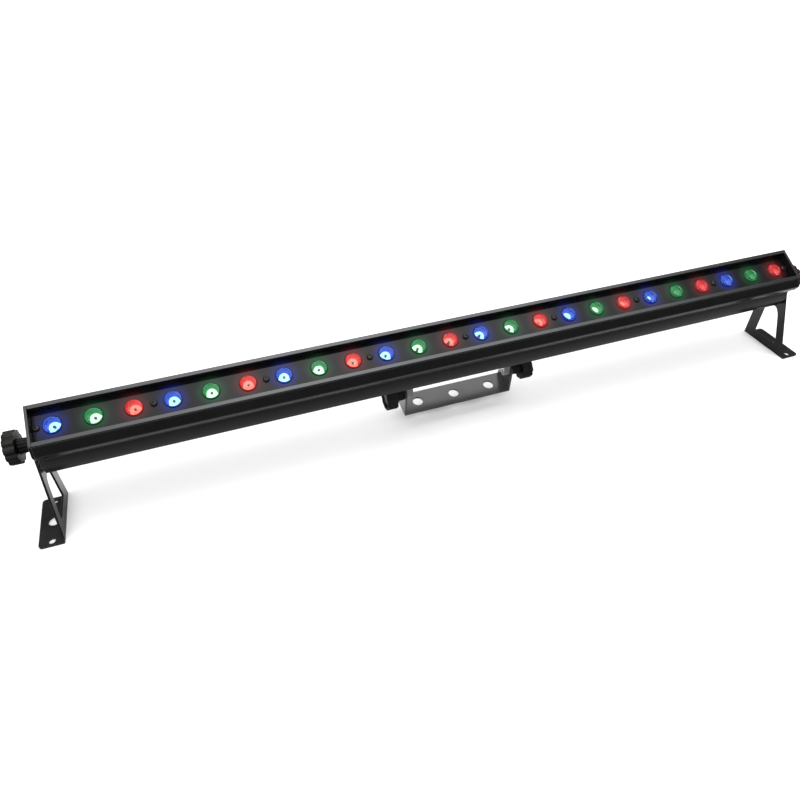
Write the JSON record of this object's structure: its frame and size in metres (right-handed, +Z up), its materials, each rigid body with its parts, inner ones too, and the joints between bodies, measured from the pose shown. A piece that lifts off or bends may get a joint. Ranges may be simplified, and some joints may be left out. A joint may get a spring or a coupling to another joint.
{
  "type": "led strip batten",
  "caption": "Long black stage light bar with a row of coloured LED lenses in a recessed face, tilting end feet with clamp knobs and a central hanging yoke.",
  "frame": {"origin": "on the floor, under the centre of the bounding box", "axes": "+X along the bar to the right of someone facing its lit face, +Z up, -Y to the side the face looks towards"},
  "size_m": [1.0524, 0.1048, 0.1459],
  "materials": {
    "housing_coat": "satin black anodised",
    "bracket_coat": "satin black powder coat on folded sheet",
    "panel_gloss": "gloss black",
    "board_carrier": "plain",
    "lens_blue": "clear moulded lens over a blue emitter",
    "lens_green": "clear moulded lens over a green emitter",
    "lens_red": "clear moulded lens over a red emitter",
    "screw_black": "blackened",
    "supply_case": "plain folded sheet",
    "circuit_board": "solder resist",
    "control_plastic": "fine texture",
    "display_window": "dark red, clear",
    "socket_plastic": "moulded",
    "socket_metal": "black chromate",
    "black_rubber": "matt",
    "lug_zinc": "zinc plated",
    "knob_plastic": "moulded"
  },
  "bodies": {
    "housing": {"housing_channel": "housing_coat", "end_cap_left": "housing_coat", "end_cap_right": "housing_coat", "face_panel": "panel_gloss", "led_board": "board_carrier", "lens_01": "lens_blue", "lens_02": "lens_green", "lens_03": "lens_red", "lens_04": "lens_blue", "lens_05": "lens_green", "lens_06": "lens_red", "lens_07": "lens_blue", "lens_08": "lens_green", "lens_09": "lens_red", "lens_10": "lens_blue", "lens_11": "lens_green", "lens_12": "lens_red", "lens_13": "lens_blue", "lens_14": "lens_green", "lens_15": "lens_red", "lens_16": "lens_blue", "lens_17": "lens_green", "lens_18": "lens_red", "lens_19": "lens_blue", "lens_20": "lens_green", "lens_21": "lens_red", "lens_22": "lens_blue", "lens_23": "lens_green", "lens_24": "lens_red", "face_screw_1": "screw_black", "face_screw_2": "screw_black", "face_screw_3": "screw_black", "face_screw_4": "screw_black", "face_screw_5": "screw_black", "face_screw_6": "screw_black", "face_screw_7": "screw_black", "face_screw_8": "screw_black", "face_screw_9": "screw_black", "power_supply": "supply_case", "driver_board": "circuit_board", "control_panel": "control_plastic", "display_window": "display_window", "power_inlet": "socket_plastic", "data_in": "socket_metal", "data_out": "socket_metal", "friction_washer_left": "black_rubber", "friction_washer_right": "black_rubber", "yoke_lug_left": "lug_zinc", "yoke_lug_right": "lug_zinc"},
    "foot_left": {"foot_left": "bracket_coat"},
    "foot_right": {"foot_right": "bracket_coat"},
    "foot_knob_left": {"foot_knob_left": "knob_plastic"},
    "foot_knob_right": {"foot_knob_right": "knob_plastic"},
    "yoke": {"yoke": "bracket_coat"},
    "yoke_knob_left": {"yoke_knob_left": "knob_plastic"},
    "yoke_knob_right": {"yoke_knob_right": "knob_plastic"},
    "button_1": {"button_1": "black_rubber"},
    "button_2": {"button_2": "black_rubber"},
    "button_3": {"button_3": "black_rubber"},
    "button_4": {"button_4": "black_rubber"}
  },
  "joints": [
    {"name": "foot_left_tilt", "type": "hinge", "parent": "housing", "child": "foot_left", "pos_m": [-0.4988, 0.012, 0.097], "axis": [1, 0, 0], "range_deg": [-180, 180]},
    {"name": "foot_knob_left_turn", "type": "hinge", "parent": "housing", "child": "foot_knob_left", "pos_m": [-0.4988, 0.012, 0.097], "axis": [1, 0, 0], "continuous": true},
    {"name": "foot_right_tilt", "type": "hinge", "parent": "housing", "child": "foot_right", "pos_m": [0.4988, 0.012, 0.097], "axis": [1, 0, 0], "range_deg": [-180, 180]},
    {"name": "foot_knob_right_turn", "type": "hinge", "parent": "housing", "child": "foot_knob_right", "pos_m": [0.4988, 0.012, 0.097], "axis": [1, 0, 0], "continuous": true},
    {"name": "yoke_tilt", "type": "hinge", "parent": "housing", "child": "yoke", "pos_m": [0, 0.01091, 0.04462], "axis": [1, 0, 0], "range_deg": [-90, 80]},
    {"name": "yoke_knob_left_turn", "type": "hinge", "parent": "housing", "child": "yoke_knob_left", "pos_m": [-0.09, 0.01091, 0.04462], "axis": [1, 0, 0], "continuous": true},
    {"name": "yoke_knob_right_turn", "type": "hinge", "parent": "housing", "child": "yoke_knob_right", "pos_m": [0.09, 0.01091, 0.04462], "axis": [1, 0, 0], "continuous": true},
    {"name": "button_1_press", "type": "slide", "parent": "housing", "child": "button_1", "axis": [0, -0.4879, 0.8729], "range_m": [0, 0.0012], "stiffness_N_per_m": 300, "springref_m": -0.0015},
    {"name": "button_2_press", "type": "slide", "parent": "housing", "child": "button_2", "axis": [0, -0.4879, 0.8729], "range_m": [0, 0.0012], "stiffness_N_per_m": 300, "springref_m": -0.0015},
    {"name": "button_3_press", "type": "slide", "parent": "housing", "child": "button_3", "axis": [0, -0.4879, 0.8729], "range_m": [0, 0.0012], "stiffness_N_per_m": 300, "springref_m": -0.0015},
    {"name": "button_4_press", "type": "slide", "parent": "housing", "child": "button_4", "axis": [0, -0.4879, 0.8729], "range_m": [0, 0.0012], "stiffness_N_per_m": 300, "springref_m": -0.0015}
  ]
}
